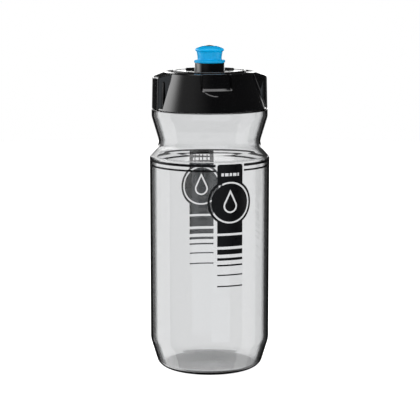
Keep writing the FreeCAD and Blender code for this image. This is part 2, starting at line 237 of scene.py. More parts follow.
def bottle():
    """The bottle as one skin, with a smooth thread raised on its neck."""
    path = bottle_path()
    rings = turned(path, BOTTLE_COLUMNS)
    turns = np.linspace(0.0, 1.0, BOTTLE_COLUMNS, endpoint=False)
    on_neck = (np.abs(path[:, 0] - NECK_R) < 1e-6) & (path[:, 1] > RIM_Z)
    for i in np.nonzero(on_neck)[0]:
        share = np.zeros(BOTTLE_COLUMNS)
        for size, slope in thread_laps(turns, path[i, 1], THREAD_Z):
            share = np.maximum(share, size * slope)
        growth = (NECK_R + THREAD_HEIGHT * smooth_step(share, 0.0, 1.0)) / NECK_R
        rings[i, :, :2] *= growth[:, None]
    return drop_loose(grid_mesh("bottle_skin", rings))


# ---------------------------------------------------------------- cap
CAP_Z = 162.3
PANEL_AZIMUTH = 11.0
PANEL_R = 35.05
PANEL_SLOPE = -1.0 / 3.0
PANEL_RAISE = 0.6
PANEL_HALF_ANGLE = 64.3
PANEL_EDGE = (27.65, 184.5)
PANEL_DECK = (22.3, 185.0)
LUG_FOOT = (35.55, 162.3)
LUG_SHOULDER = (35.1, 182.0)
LUG_RIDGE = (28.3, 184.5)
LUG_DECK = (22.3, 183.8)
LUG_FACE = 20.07
LUG_FACE_TURN = 18.6
SEAM_CHAMFER_TURN = 13.0
SIDE_POCKET_DEPTH = 1.8
SIDE_POCKET_Z = 163.4
NOTCH_ANGLES = (-19.9, 17.9)
NOTCH_SIDE_LEAN = 2.0
NOTCH_FLOOR_Z = 176.1
NOTCH_DEPTH = 1.5
NOTCH_LIP = 0.577          # how far the lip under the notch falls for each mm it reaches out
FACET_TURN = 17.0
FACET_DISTANCE = 28.33
FACET_SLOPE = -0.27
RAISED_EDGE = ((0.0, 172.0), (-6.4, 172.95), (-10.6, 176.3))
RAISED_LIMIT = 45.0        # the raised part ends before this turn, inside the panel
DISH_R = 22.3
DISH_WALL = 1.2
DISH_TOP = 185.6
DISH_FLOOR = (184.9, 184.3)
DISH_ROUND = ((0.0, 0.45), (0.06, 0.22), (0.22, 0.06), (0.45, 0.0))    # the rim's rounding, in and down
DRAIN_GAP = (94.0, 137.0)
DRAIN_BLUR = 0.4
DRAIN_Z = 184.2
COLLAR_R = 9.2
COLLAR_BORE_R = 8.0
COLLAR_TOP = 190.0
COLLAR_LIP_R = 7.38
COLLAR_LIP = 1.2
BOSS_R = 9.6
BOSS_Z = 176.6
CAVITY_R = 22.6
DECK_UNDER = 182.2
CEILING_Z = 175.5
CAP_BORE_R = 28.4
SKIRT_R = 30.1
CAP_THREAD_Z = 166.15
CAP_THREAD_START = 0.5     # in turns from +X
CAP_THREAD_HEIGHT = 1.1
CORE_TOP = (165.95, 179.5)     # tops of the hollows under the panels and in the lugs
CORE_FOOT_R = (31.98, 33.45)
CORE_TOP_R = (30.4, 33.0)
CORE_TURNS = (68.6, 69.4)      # between these the panels' hollows turn into the lugs'
CORE_RIB = 0.7                 # half the width of the rib in the middle of each lug
CORE_RIB_R = 31.0
CHAMFER = 0.1
FOOT_CHAMFER = 0.25

# the line (r, z) from the dish's wall over the collar and through its bore to the top of the cap's thread
CAP_INSIDE = (
    (DISH_R - DISH_WALL, DISH_FLOOR[0] + CHAMFER),
    (DISH_R - DISH_WALL - CHAMFER, DISH_FLOOR[0]),
    (COLLAR_R + 0.3, DISH_FLOOR[1] + 0.01),
    (COLLAR_R + 0.08, DISH_FLOOR[1] + 0.08),
    (COLLAR_R, DISH_FLOOR[1] + 0.3),
    (COLLAR_R, COLLAR_TOP - 0.3),
    (COLLAR_R - 0.09, COLLAR_TOP - 0.09),
    (COLLAR_R - 0.3, COLLAR_TOP),
    (COLLAR_LIP_R + 0.15, COLLAR_TOP),
    (COLLAR_LIP_R, COLLAR_TOP - 0.15),
    (COLLAR_LIP_R, COLLAR_TOP - COLLAR_LIP),
    (COLLAR_BORE_R, COLLAR_TOP - COLLAR_LIP),
    (COLLAR_BORE_R, BOSS_Z),
    (BOSS_R, BOSS_Z),
    (BOSS_R, DECK_UNDER - 0.8),
    (BOSS_R + 0.25, DECK_UNDER - 0.25),
    (BOSS_R + 0.8, DECK_UNDER),
    (CAVITY_R - 1.5, DECK_UNDER),
    (CAVITY_R - 0.45, DECK_UNDER - 0.45),
    (CAVITY_R, DECK_UNDER - 1.5),
    (CAVITY_R, CEILING_Z),
    (CAP_BORE_R - 0.4, CEILING_Z),
    (CAP_BORE_R - CHAMFER, CEILING_Z - CHAMFER),
)

# where the cap's mesh has its points: ray heights and rises over the outside, and radii over the deck
FOOT_HEIGHTS = (CAP_Z, 162.38, 162.6, 162.95, 163.25, 163.4, 163.55, 163.8)
LOW_HEIGHTS = np.arange(164.3, 171.0, 0.7)
PANEL_HEIGHTS = np.arange(171.0, 176.0, 0.3)
RISES = np.concatenate([np.arange(0.0, 28.0, 0.9), np.arange(28.0, 36.1, 0.5)])
DECK_RADII = (25.4, 24.6, 23.8, 23.0, DISH_R + 0.15, DISH_R)
RAY_START = (14.0, 176.0)      # where the rays that rise start from
RAY_REACH = (2.0, 30.0, 0.5)   # shortest and longest distance looked at along a ray, and the step
RAY_HALVINGS = 22
BELOW_DECK = 170.0
BORE_STEP = 0.4
FINE_TURNS = ((-77.0, -61.0), (-22.0, -16.0), (-2.0, 6.0), (13.0, 19.0), (61.0, 77.0))
FINE_STEP = 0.32
COARSE_STEP = 1.0
CAP_SHARP = 38.0               # edges that turn by more than this many degrees stay sharp

# how widely the cap's surfaces run into each other at an edge
BLEND_SHOULDER = 1.2
BLEND_RIDGE = 0.12
BLEND_DECK = 0.4
BLEND_FACE = 0.5
BLEND_CORNER = 0.18
BLEND_RAISED = 0.12
BLEND_WINDOW = 0.35
BLEND_LIP = 0.12
BLEND_NOTCH = 0.16
BLEND_NOTCH_CORNER = 1.3
BLEND_POCKET = 0.15


def round_max(a, b, blend):
    """The inside of both, its edge rounded."""
    gap = np.maximum(blend - np.abs(a - b), 0.0)
    return np.maximum(a, b) + gap * gap / (4.0 * blend)


def round_min(a, b, blend):
    """The inside of either, the corner between them filled."""
    return -round_max(-a, -b, blend)


def past_line(r, z, start, end):
    """Distance of (r, z) to the right of the line from start to end."""
    dr = end[0] - start[0]
    dz = end[1] - start[1]
    return ((r - start[0]) * dz - (z - start[1]) * dr) / hypot(dr, dz)


def past_cone(r, z, at_cap_z):
    """Distance outside the panels' cone of this radius at the cap's lower edge."""
    return (r - at_cap_z - PANEL_SLOPE * (z - CAP_Z)) / hypot(1.0, PANEL_SLOPE)


def past_plane(r, turn, z, azimuth, distance, slope=0.0, at_z=0.0):
    """Distance beyond a plane square to this azimuth that leans with the height."""
    return (r * np.cos(np.radians(turn - azimuth)) - distance - slope * (z - at_z)) / hypot(1.0, slope)


def raised_edge_circle():
    """Centre and radius of the arc through the three points of the raised part's upper edge."""
    (x1, z1), (x2, z2), (x3, z3) = RAISED_EDGE
    rows = np.array([[x2 - x1, z2 - z1], [x3 - x1, z3 - z1]])
    sides = np.array([x2 * x2 - x1 * x1 + z2 * z2 - z1 * z1, x3 * x3 - x1 * x1 + z3 * z3 - z1 * z1]) / 2
    centre = np.linalg.solve(rows, sides)
    return centre, hypot(x1 - centre[0], z1 - centre[1])


def outside_cap(r, azimuth, z):
    """Roughly how far a point is outside the cap, below 0 inside; the azimuth counts from -Y towards +X."""
    turn = (azimuth - PANEL_AZIMUTH + 90.0) % 180.0 - 90.0      # from the middle of the nearer panel
    across = r * np.sin(np.radians(turn))
    lug_sides = [past_plane(r, turn, z, side * LUG_FACE_TURN, LUG_FACE) for side in (1, -1)]
    lug_side = np.maximum(*lug_sides)

    lug = past_line(r, z, LUG_FOOT, LUG_SHOULDER)
    lug = round_max(lug, past_line(r, z, LUG_SHOULDER, LUG_RIDGE), BLEND_SHOULDER)
    lug = round_max(lug, past_line(r, z, LUG_RIDGE, LUG_DECK), BLEND_RIDGE)
    lug = round_max(lug, lug_side, BLEND_FACE)

    deck = past_line(r, z, PANEL_EDGE, PANEL_DECK)
    panel = round_max(past_cone(r, z, PANEL_R), deck, BLEND_DECK)
    panel = np.maximum(panel, np.minimum(-lug_side, z - LUG_DECK[1]))

    centre, radius = raised_edge_circle()
    over_arc = radius - np.hypot(across - centre[0], z - centre[1])
    window = np.minimum(over_arc, across - RAISED_EDGE[2][0])
    square = cos(radians(SEAM_CHAMFER_TURN))
    chamfer = past_plane(r, turn, z, SEAM_CHAMFER_TURN, PANEL_R * square, PANEL_SLOPE * square, CAP_Z)
    raised = round_max(past_cone(r, z, PANEL_R + PANEL_RAISE), deck, BLEND_DECK)
    raised = round_max(raised, window, BLEND_WINDOW)
    raised = np.maximum(round_max(raised, chamfer, BLEND_RAISED), across)
    raised = round_max(raised, -r * np.sin(np.radians(turn + PANEL_HALF_ANGLE)), BLEND_POCKET)
    raised = np.maximum(raised, turn - RAISED_LIMIT)
    shape = round_min(panel, raised, BLEND_RAISED)

    floor_r = PANEL_R - SIDE_POCKET_DEPTH
    edge = r * np.sin(np.radians(np.abs(turn) - PANEL_HALF_ANGLE))
    pocket = np.maximum(-edge, SIDE_POCKET_Z - z)
    pocket = np.maximum(pocket, np.maximum(-past_cone(r, z, floor_r), -lug_side))
    shape = round_max(shape, -pocket, BLEND_POCKET)
    shape = round_min(shape, lug, BLEND_CORNER)

    low_r = PANEL_R - NOTCH_DEPTH + PANEL_SLOPE * (NOTCH_FLOOR_Z - CAP_Z)
    facet = past_plane(r, turn, z, FACET_TURN, FACET_DISTANCE, FACET_SLOPE, NOTCH_FLOOR_Z)
    floor = np.minimum(-past_cone(r, z, PANEL_R - NOTCH_DEPTH), -facet)
    lip = -(NOTCH_LIP * (r - low_r) + z - NOTCH_FLOOR_Z) / hypot(1.0, NOTCH_LIP)
    lip = np.minimum(lip, NOTCH_FLOOR_Z - z)
    left, right = NOTCH_ANGLES
    start = -r * np.sin(np.radians(turn - left))
    lean = sin(radians(NOTCH_SIDE_LEAN))
    end = past_plane(r, turn, z, right + 90.0 - NOTCH_SIDE_LEAN, 0.0, lean, NOTCH_FLOOR_Z)
    notch = round_max(floor, round_max(np.maximum(start, end), lip, BLEND_NOTCH_CORNER), BLEND_LIP)
    return round_max(shape, -notch, BLEND_NOTCH)


def cap_columns():
    """Azimuths for the cap's mesh, closer together where its shape turns quickly."""
    half = []
    turn = -90.0
    while turn < 90.0 - 1e-6:
        half.append(turn)
        fine = any(low <= turn < high for low, high in FINE_TURNS)
        next_stop = min([low for low, high in FINE_TURNS if low > turn] + [90.0])
        turn = min(turn + (FINE_STEP if fine else COARSE_STEP), next_stop)
    return np.array(half + [t + 180.0 for t in half]) + PANEL_AZIMUTH


def cast(azimuths, start_r, start_z, rise):
    """Where rays from (start_r, start_z) at this rise in degrees leave the cap, as radii and heights."""
    along_r = cos(radians(rise))
    along_z = sin(radians(rise))
    longest = RAY_REACH[1]
    inside = np.zeros(len(azimuths))
    outside = np.full(len(azimuths), longest)
    found = np.zeros(len(azimuths), bool)
    for reach in np.arange(*RAY_REACH):
        out = outside_cap(start_r + reach * along_r, azimuths, start_z + reach * along_z) > 0
        outside = np.where(out & ~found, reach, outside)
        found |= out
        inside = np.where(found, inside, reach)
    for _ in range(RAY_HALVINGS):
        middle = (inside + outside) / 2
        out = outside_cap(start_r + middle * along_r, azimuths, start_z + middle * along_z) > 0
        outside = np.where(out, middle, outside)
        inside = np.where(out, inside, middle)
    return start_r + inside * along_r, start_z + inside * along_z


def cap_outside(azimuths):
    """Rings (r, z) over the cap's outside, from its lower edge up to the dish."""
    rows = []
    for z in (*FOOT_HEIGHTS, *LOW_HEIGHTS, *PANEL_HEIGHTS):
        r, _ = cast(azimuths, RAY_START[0], z, 0.0)
        rows.append((r - (FOOT_CHAMFER if z == CAP_Z else 0.0), z))
    for rise in RISES:
        rows.append(cast(azimuths, *RAY_START, rise))
    for r in DECK_RADII:
        _, z = cast(azimuths, r - 1e-6, BELOW_DECK, 90.0)
        rows.append((r, z))
    return rows


def dish_rim(azimuths):
    """Rings over the rim round the dish, which drops to the drain's height in two gaps."""
    turn = np.abs((azimuths + 180.0) % 360.0 - 180.0)
    after_start, after_end = (smooth_step(turn, edge - DRAIN_BLUR, edge + DRAIN_BLUR) for edge in DRAIN_GAP)
    top = DISH_TOP + (DRAIN_Z - DISH_TOP) * (after_start * (1 - after_end))
    outer = [(DISH_R - back, top - down) for back, down in DISH_ROUND]
    inner = [(DISH_R - DISH_WALL + back, top - down) for back, down in reversed(DISH_ROUND)]
    return outer + inner


def threaded_bore(azimuths):
    """Rings down the cap's bore with its thread, and under the bore's edge."""
    rows = []
    turns = ((azimuths - 90.0) / 360.0 - CAP_THREAD_START) % 1.0
    for z in np.arange(CEILING_Z - BORE_STEP, CAP_Z + BORE_STEP / 2, -BORE_STEP):
        height = np.zeros(len(azimuths))
        for size, slope in thread_laps(turns, z, CAP_THREAD_Z):
            height = np.maximum(height, size * smooth_step(slope, 0.0, 1.0))
        rows.append((CAP_BORE_R - CAP_THREAD_HEIGHT * height, z))
    rows.append((CAP_BORE_R, CAP_Z + CHAMFER))
    rows.append((CAP_BORE_R + CHAMFER, CAP_Z))
    rows.append((SKIRT_R - CHAMFER, CAP_Z))
    return rows


def hollows(azimuths):
    """Rings through the hollows under the panels, and the taller ones in the lugs, which a rib divides."""
    from_panel = np.abs((azimuths - PANEL_AZIMUTH + 90.0) % 180.0 - 90.0)
    lug_share = smooth_step(from_panel, *CORE_TURNS)
    from_lug = np.abs(CORE_RIB_R * np.sin(np.radians(90.0 - from_panel)))
    rib = 1 - smooth_step(from_lug, CORE_RIB - CHAMFER, CORE_RIB + CHAMFER)
    sizes = [panel + (lug - panel) * lug_share for panel, lug in (CORE_TOP, CORE_FOOT_R, CORE_TOP_R)]
    top_z, foot_r, top_r = sizes
    top_z = top_z + (CAP_Z + 0.3 - top_z) * rib
    return [
        (SKIRT_R, CAP_Z + CHAMFER),
        (SKIRT_R, top_z - CHAMFER),
        (SKIRT_R + CHAMFER, top_z),
        (top_r - CHAMFER, top_z),
        (top_r, top_z - 0.15),
        (foot_r, CAP_Z + CHAMFER),
        (foot_r + CHAMFER, CAP_Z),
    ]


def cap():
    """The screw cap as one closed skin: outside, dish, collar, bore with its thread, and the hollows."""
    azimuths = cap_columns()
    rows = cap_outside(azimuths) + dish_rim(azimuths) + list(CAP_INSIDE)
    rows += threaded_bore(azimuths) + hollows(azimuths)
    level = np.zeros(len(azimuths))
    r = np.array([row[0] + level for row in rows])
    z = np.array([row[1] + level for row in rows])
    a = np.radians(azimuths)
    points = np.stack([r * np.sin(a), -r * np.cos(a), z], axis=2)
    made = grid_mesh("cap_moulding", points, closed_path=True)
    made.data.set_sharp_from_angle(angle=radians(CAP_SHARP))
    return made


# ---------------------------------------------------------------- mouthpiece
NOZZLE_BORE_R = 5.4
PISTON_R = 7.8
PISTON = (180.0, 182.6)        # heights of its two ends
RING_GROOVE = (180.55, 182.05)
RING_GROOVE_R = 6.5
NOZZLE_SKIRT_R = 7.3
FLANGE_R = 9.5
FLANGE_TOP = 191.6
THROAT = ((7.45, 191.9, 0.5), (7.4, 193.6, 6.0), (7.95, 196.8, 0.7))
HEAD = ((9.95, 198.05, 0.9), (6.4, 199.55, 4.0), (4.3, 200.2, 1.2))
ORIFICE_R = 3.4
SEAT_Z = (198.8, 196.1)        # the orifice's lower end, and where it meets the bore


def nozzle():
    """The mouthpiece, with the skirt and the piston that stay in the collar."""
    return lathe("nozzle_moulding", [
        (NOZZLE_BORE_R, PISTON[0], 0.2),
        (PISTON_R, PISTON[0], 0.15),
        (PISTON_R, RING_GROOVE[0], 0.1),
        (RING_GROOVE_R, RING_GROOVE[0]),
        (RING_GROOVE_R, RING_GROOVE[1]),
        (PISTON_R, RING_GROOVE[1], 0.1),
        (PISTON_R, PISTON[1], 0.15),
        (NOZZLE_SKIRT_R, PISTON[1]),
        (NOZZLE_SKIRT_R, COLLAR_TOP),
        (FLANGE_R, COLLAR_TOP, 0.35),
        (FLANGE_R, FLANGE_TOP, 0.35),
        *THROAT,
        *HEAD,
        (ORIFICE_R, HEAD[2][1], 0.3),
        (ORIFICE_R, SEAT_Z[0], 0.3),
        (NOZZLE_BORE_R, SEAT_Z[1], 1.0),
    ])


# ---------------------------------------------------------------- nodes for the materials
def new_material(name):
    """A material with one principled shader: the material, its tree and the shader."""
    material = bpy.data.materials.new(name)
    material.use_nodes = True
    tree = material.node_tree
    tree.nodes.clear()
    out = tree.nodes.new("ShaderNodeOutputMaterial")
    shader = tree.nodes.new("ShaderNodeBsdfPrincipled")
    tree.links.new(shader.outputs[0], out.inputs["Surface"])
    return material, tree, shader


def noise(tree, scale, detail=4.0, stretch=(1.0, 1.0, 1.0)):
    """The factor of a noise over the object's own coordinates, in metres."""
    where = tree.nodes.new("ShaderNodeTexCoord")
    mapping = tree.nodes.new("ShaderNodeMapping")
    mapping.inputs["Scale"].default_value = stretch
    tree.links.new(where.outputs["Object"], mapping.inputs["Vector"])
    made = tree.nodes.new("ShaderNodeTexNoise")
    made.inputs["Scale"].default_value = scale
    made.inputs["Detail"].default_value = detail
    tree.links.new(mapping.outputs[0], made.inputs["Vector"])
    return made.outputs["Fac"]


def spread(tree, value, low, high, from_low=0.3, from_high=0.7):
    """The value stretched from one range to another."""
    made = tree.nodes.new("ShaderNodeMapRange")
    made.inputs["From Min"].default_value = from_low
    made.inputs["From Max"].default_value = from_high
    made.inputs["To Min"].default_value = low
    made.inputs["To Max"].default_value = high
    tree.links.new(value, made.inputs["Value"])
    return made.outputs[0]


def maths(tree, kind, a, b=None):
    """The result of a sum on one or two values, each a number or an output of another node."""
    made = tree.nodes.new("ShaderNodeMath")
    made.operation = kind
    for socket, value in zip(made.inputs, (a, b)):
        if isinstance(value, (int, float)):
            socket.default_value = value
        elif value is not None:
            tree.links.new(value, socket)
    return made.outputs[0]


def parted(tree, vector):
    """The x, y and z of a vector."""
    made = tree.nodes.new("ShaderNodeSeparateXYZ")
    tree.links.new(vector, made.inputs[0])
    return made.outputs


def tinted(tree, value, low, high):
    """A colour between two by value."""
    made = tree.nodes.new("ShaderNodeMix")
    made.data_type = "RGBA"
    made.inputs[6].default_value = (*low, 1.0)
    made.inputs[7].default_value = (*high, 1.0)
    tree.links.new(value, made.inputs[0])
    return made.outputs[2]


def bumped(tree, value, strength, distance):
    """A normal tilted by value as a height, at most this distance in metres."""
    made = tree.nodes.new("ShaderNodeBump")
    made.inputs["Strength"].default_value = strength
    made.inputs["Distance"].default_value = distance
    tree.links.new(value, made.inputs["Height"])
    return made.outputs[0]


# ---------------------------------------------------------------- materials
CLEAR_IOR = 1.47
SMOKE = ((0.825, 0.83, 0.835), (0.84, 0.843, 0.846))
SLANT_WALL = (0.115, 0.25)     # painted shade: shares mirrored between which the clear walls go from clear to black where seen at a slant
SLANT_FLOOR = (0.04, 0.35)     # the same painted shade for level surfaces such as the base
LEVEL = (0.97, 0.995)          # how upright a normal is where its surface begins to count as level, and does
FOOT_DOWN = (0.45, 0.6)        # how far down a normal points where the painted shade on the foot begins, and where the foot is painted fully dark
FOOT_LEVEL = (0.95, 0.985)     # how upright a normal is where the foot begins to clear again, and is clear
FOOT_HEIGHT = (0.005, 0.007)   # heights in metres up to which the foot is painted dark, and from which it is clear


def clear_plastic():
    """Clear, slightly smoky plastic with a blow moulding's faint ripple, and painted shade that darkens it
    where it is seen at a slant and on its foot.
    """
    material, tree, shader = new_material("clear_plastic")
    shader.inputs["Transmission Weight"].default_value = 1.0
    shader.inputs["IOR"].default_value = CLEAR_IOR
    ripple = noise(tree, 55.0, 2.0, (1.0, 1.0, 0.35))
    cloud = noise(tree, 9.0, 3.0)

    # painted shade: the tint goes towards black where the wall is seen at a slant
    slant = tree.nodes.new("ShaderNodeFresnel")
    slant.inputs["IOR"].default_value = CLEAR_IOR
    up = parted(tree, tree.nodes.new("ShaderNodeNewGeometry").outputs["True Normal"])["Z"]
    level = maths(tree, "ABSOLUTE", up)
    painted_slant_shade = tree.nodes.new("ShaderNodeMix")
    tree.links.new(spread(tree, level, 0.0, 1.0, *LEVEL), painted_slant_shade.inputs[0])
    tree.links.new(spread(tree, slant.outputs[0], 0.0, 1.0, *SLANT_WALL), painted_slant_shade.inputs[2])
    tree.links.new(spread(tree, slant.outputs[0], 0.0, 1.0, *SLANT_FLOOR), painted_slant_shade.inputs[3])

    # painted shade: downward-facing slopes of the foot near the floor are darkened
    height = parted(tree, tree.nodes.new("ShaderNodeTexCoord").outputs["Object"])["Z"]
    facing_down = spread(tree, maths(tree, "MULTIPLY", up, -1.0), 0.0, 1.0, *FOOT_DOWN)
    foot = maths(tree, "MULTIPLY", facing_down, spread(tree, level, 1.0, 0.0, *FOOT_LEVEL))
    foot = maths(tree, "MULTIPLY", foot, spread(tree, height, 1.0, 0.0, *FOOT_HEIGHT))

    # painted shade: the smoky tint mixed towards black by the slant mask and the foot mask
    painted_shade_tint = tree.nodes.new("ShaderNodeMix")
    painted_shade_tint.data_type = "RGBA"
    painted_shade_tint.inputs[7].default_value = (0.0, 0.0, 0.0, 1.0)
    tree.links.new(maths(tree, "MAXIMUM", painted_slant_shade.outputs[0], foot), painted_shade_tint.inputs[0])
    tree.links.new(tinted(tree, cloud, *SMOKE), painted_shade_tint.inputs[6])
    tree.links.new(painted_shade_tint.outputs[2], shader.inputs["Base Color"])
    tree.links.new(spread(tree, cloud, 0.004, 0.02), shader.inputs["Roughness"])
    tree.links.new(bumped(tree, ripple, 0.02, 0.002), shader.inputs["Normal"])
    return material


def solid(name, clouds, tints, roughness, grain, shine=0.5):
    """An opaque material: clouds is a noise's scale and detail, grain a bump's, with its strength and depth."""
    material, tree, shader = new_material(name)
    cloud = noise(tree, *clouds)
    scale, detail, strength, depth = grain
    tree.links.new(tinted(tree, cloud, *tints), shader.inputs["Base Color"])
    tree.links.new(spread(tree, cloud, *roughness), shader.inputs["Roughness"])
    tree.links.new(bumped(tree, noise(tree, scale, detail), strength, depth), shader.inputs["Normal"])
    shader.inputs["Specular IOR Level"].default_value = shine
    return material


def black_plastic():
    """Glossy black moulded plastic."""
    tints = ((0.0015, 0.0015, 0.0018), (0.0025, 0.0025, 0.0028))
    return solid("black_plastic", (45.0, 4.0), tints, (0.11, 0.15), (2600.0, 3.0, 0.03, 0.0002))


def valve_plastic():
    """Black plastic of the valve's post, a little duller than the cap."""
    tints = ((0.010, 0.010, 0.012), (0.022, 0.022, 0.024))
    return solid("valve_plastic", (120.0, 4.0), tints, (0.12, 0.2), (2000.0, 2.0, 0.03, 0.0002))


def blue_plastic():
    """Soft light-blue plastic of the mouthpiece."""
    tints = ((0.0, 0.35, 0.70), (0.0, 0.38, 0.74))
    return solid("blue_plastic", (160.0, 4.0), tints, (0.22, 0.28), (1800.0, 3.0, 0.02, 0.0001), 0.3)


def rubber(name, tint):
    """Dull rubber of this colour, darker in places."""
    tints = (tuple(0.8 * part for part in tint), tint)
    return solid(name, (300.0, 5.0), tints, (0.55, 0.75), (3000.0, 3.0, 0.15, 0.0002))


def ink():
    """Screen-printed black ink, a little uneven."""
    tints = ((0.001, 0.001, 0.0015), (0.003, 0.003, 0.0035))
    return solid("black_ink", (700.0, 4.0), tints, (0.25, 0.4), (2500.0, 2.0, 0.05, 0.0001), 0.15)


# ---------------------------------------------------------------- prints
PRINT_R = 37.05
STRIP_HALF = radians(12.55)
STRIPS = (radians(19.65), radians(188.5))     # azimuths of the front strip and the rear one, from -Y
STRIP_TOP = 131.7
STRIP_END = 89.9
STRIP_CORNER = 1.6
BARS = ((88.5, 81.8), (80.1, 77.0), (74.9, 73.3), (70.8, 69.8), (64.7, 63.9), (57.8, 57.0))
DISC_Z = 108.5
DISC_R = 14.0              # outside of the ring, which runs into the strip
GAP_RING = (11.6, 12.6)    # clear ring between the disc and the ring round it
CIRCLE_POINTS = 96
DROP_R = 4.3
DROP_FOOT = -2.0           # the drop's round part is centred this far over the disc's middle
DROP_TIP = 8.0
DROP_LINE = 1.0
DASHES = ((-5.6, 1.5), (-3.4, 2.2), (-0.5, 1.5), (1.7, 2.2), (4.6, 1.0))   # where each starts, and its length
DASH_Z = (124.6, 126.4)
HOOPS = ((130.9, 1.6), (127.75, 1.1))          # middle height and width of each line round the shoulder
HOOP_GAP = 1.0
HOOP_POINTS = 240


def on_wall(across, z, middle):
    """The point on the wall this far round it, in millimetres, from the azimuth called middle."""
    a = middle + across / BODY_R
    return (PRINT_R * MM * sin(a), -PRINT_R * MM * cos(a), z * MM)


def arc(x, z, radius, start, end, count=24):
    """Points on an arc between two angles in degrees."""
    angles = [radians(start + (end - start) * i / count) for i in range(count + 1)]
    return [(x + radius * cos(a), z + radius * sin(a)) for a in angles]


def circle(radius):
    """Points on a circle round the disc's middle."""
    return arc(0.0, DISC_Z, radius, 0.0, 360.0, CIRCLE_POINTS)[:-1]


def block(x0, x1, low, high):
    """Outline of an upright rectangle."""
    return [(x0, low), (x1, low), (x1, high), (x0, high)]


def drop(offset):
    """Outline of the water drop in the disc, moved inwards by offset."""
    radius = DROP_R - offset
    length = DROP_TIP - DROP_FOOT
    tip = length - offset * length / DROP_R
    touch = degrees(np.arcsin(radius / tip))
    round_part = arc(0.0, DISC_Z + DROP_FOOT, radius, 180.0 - touch, 360.0 + touch, 36)
    return round_part + [(0.0, DISC_Z + DROP_FOOT + tip)]


def strip_shapes():
    """The flat printed shapes of one strip, each as its outline and its holes."""
    half = STRIP_HALF * BODY_R
    meet = degrees(np.arccos(half / DISC_R))
    inner = half - STRIP_CORNER
    right = [(half, STRIP_END)] + arc(0.0, DISC_Z, DISC_R, -meet, meet, 40)
    right += arc(inner, STRIP_TOP - STRIP_CORNER, STRIP_CORNER, 0.0, 90.0, 6)
    outline = right + [(-x, z) for x, z in reversed(right)]
    dashes = [block(x, x + length, *DASH_Z) for x, length in DASHES]
    shapes = [(outline, [circle(GAP_RING[1]), *dashes])]
    shapes += [(circle(GAP_RING[0]), [drop(0.0)]), (drop(DROP_LINE), [])]
    shapes += [(block(-half, half, low, high), []) for high, low in BARS]
    return shapes


def printed(name, shapes, middle):
    """A thin layer of ink laid round the wall from flat shapes."""
    work = bmesh.new()
    for outline, holes in shapes:
        loops = [[Vector((x, z, 0.0)) for x, z in loop] for loop in [outline] + holes]
        verts = [work.verts.new(p) for loop in loops for p in loop]
        for corners in tessellate_polygon(loops):
            work.faces.new([verts[i] for i in corners])
    low = min(v.co.x for v in work.verts)
    high = max(v.co.x for v in work.verts)
    for x in np.arange(np.ceil(low), high, 1.0):
        everything = work.verts[:] + work.edges[:] + work.faces[:]
        bmesh.ops.bisect_plane(work, geom=everything, plane_co=(x, 0, 0), plane_no=(1, 0, 0), dist=1e-5)
    for v in work.verts:
        v.co = on_wall(v.co.x, v.co.y, middle)
    work.normal_update()
    for face in work.faces:
        centre = face.calc_center_median()
        if face.normal.x * centre.x + face.normal.y * centre.y < 0:
            face.normal_flip()
    mesh = bpy.data.meshes.new(name)
    work.to_mesh(mesh)
    work.free()
    made = bpy.data.objects.new(name, mesh)
    bpy.context.scene.collection.objects.link(made)
    return made


def hoops(name):
    """The two printed lines round the shoulder, open where the front strip is."""
    edge = STRIP_HALF * BODY_R + HOOP_GAP
    across = np.linspace(edge, 2 * pi * BODY_R - edge, HOOP_POINTS)
    points = []
    faces = []
    for height, width in HOOPS:
        first = len(points)
        for x in across:
            points.append(on_wall(x, height - width / 2, STRIPS[0]))
            points.append(on_wall(x, height + width / 2, STRIPS[0]))
        for i in range(len(across) - 1):
            k = first + 2 * i
            faces.append((k, k + 2, k + 3, k + 1))
    mesh = bpy.data.meshes.new(name)
    mesh.from_pydata(points, [], faces)
    mesh.shade_smooth()
    made = bpy.data.objects.new(name, mesh)
    bpy.context.scene.collection.objects.link(made)
    return made


# ---------------------------------------------------------------- stage
# What shiny surfaces see. Each panel has its azimuths from and to, its elevations from and to, the blur of
# its sides and of its ends, all in degrees, then its colour and its strength.
WHITE = (1.0, 1.0, 1.0)
BLUISH = (0.85, 0.93, 1.0)
PANELS = (
    (-124.0, -83.0, -60.0, 7.0, 1.0, 1.0, WHITE, 1.6),
    (-150.0, -80.0, 8.0, 24.0, 40.0, 6.0, WHITE, 5.0),
    (-90.0, -20.0, 16.0, 46.0, 60.0, 6.0, WHITE, 0.35),
    (66.0, 100.0, -60.0, 3.0, 3.0, 3.0, WHITE, 1.1),
    (-34.0, 2.8, -13.9, 6.0, 0.4, 0.4, BLUISH, 0.9),
    (2.8, 39.5, -15.0, 6.0, 0.4, 0.4, BLUISH, 1.1),
    (-181.0, 181.0, 62.0, 95.0, 1.0, 6.0, WHITE, 3.2),
    (150.0, 210.0, -1.5, 6.5, 12.0, 1.5, WHITE, 3.0),
)
ALL_ROUND = 181.0                  # a panel that ends past this lies behind, where azimuths run from 0 to 360
ROOM = 0.03                        # what shiny surfaces see beside the panels
SOFT = 0.5                         # the light from all round on surfaces that aren't shiny
OPEN_SKY = (-80.0, 40.0, 14.0)     # elevations between which the backdrop is bright, and the blur
SHADE = (4.0, 90.0, 30.0, 0.7)     # the backdrop's dark side: azimuths from and to, blur, share taken off
# name, place, what it points at, size in metres, power in watts
SOFTBOXES = (
    ("left_box", (-0.9, -0.35, 0.3), (0, 0, 0.12), (0.5, 1.2), 6.0),
    ("right_box", (0.75, -0.6, 0.3), (0, 0, 0.15), (0.12, 0.5), 3.0),
    ("top_box", (0.0, -0.1, 1.0), (0, 0, 0.1), (0.8, 0.8), 3.0),
)
FLOOR_R = 1.2
FLOOR_POINTS = 96
FLOOR_GLOW = 0.95
CAMERA_PLACE = (0.0, -0.95565, 0.25583)
CAMERA_DOWN = 0.16336              # radians below level
CAMERA_SHIFT = 0.0009
LENS = 133.25                      # millimetres, for a sensor 36 mm wide
SENSOR = 36.0


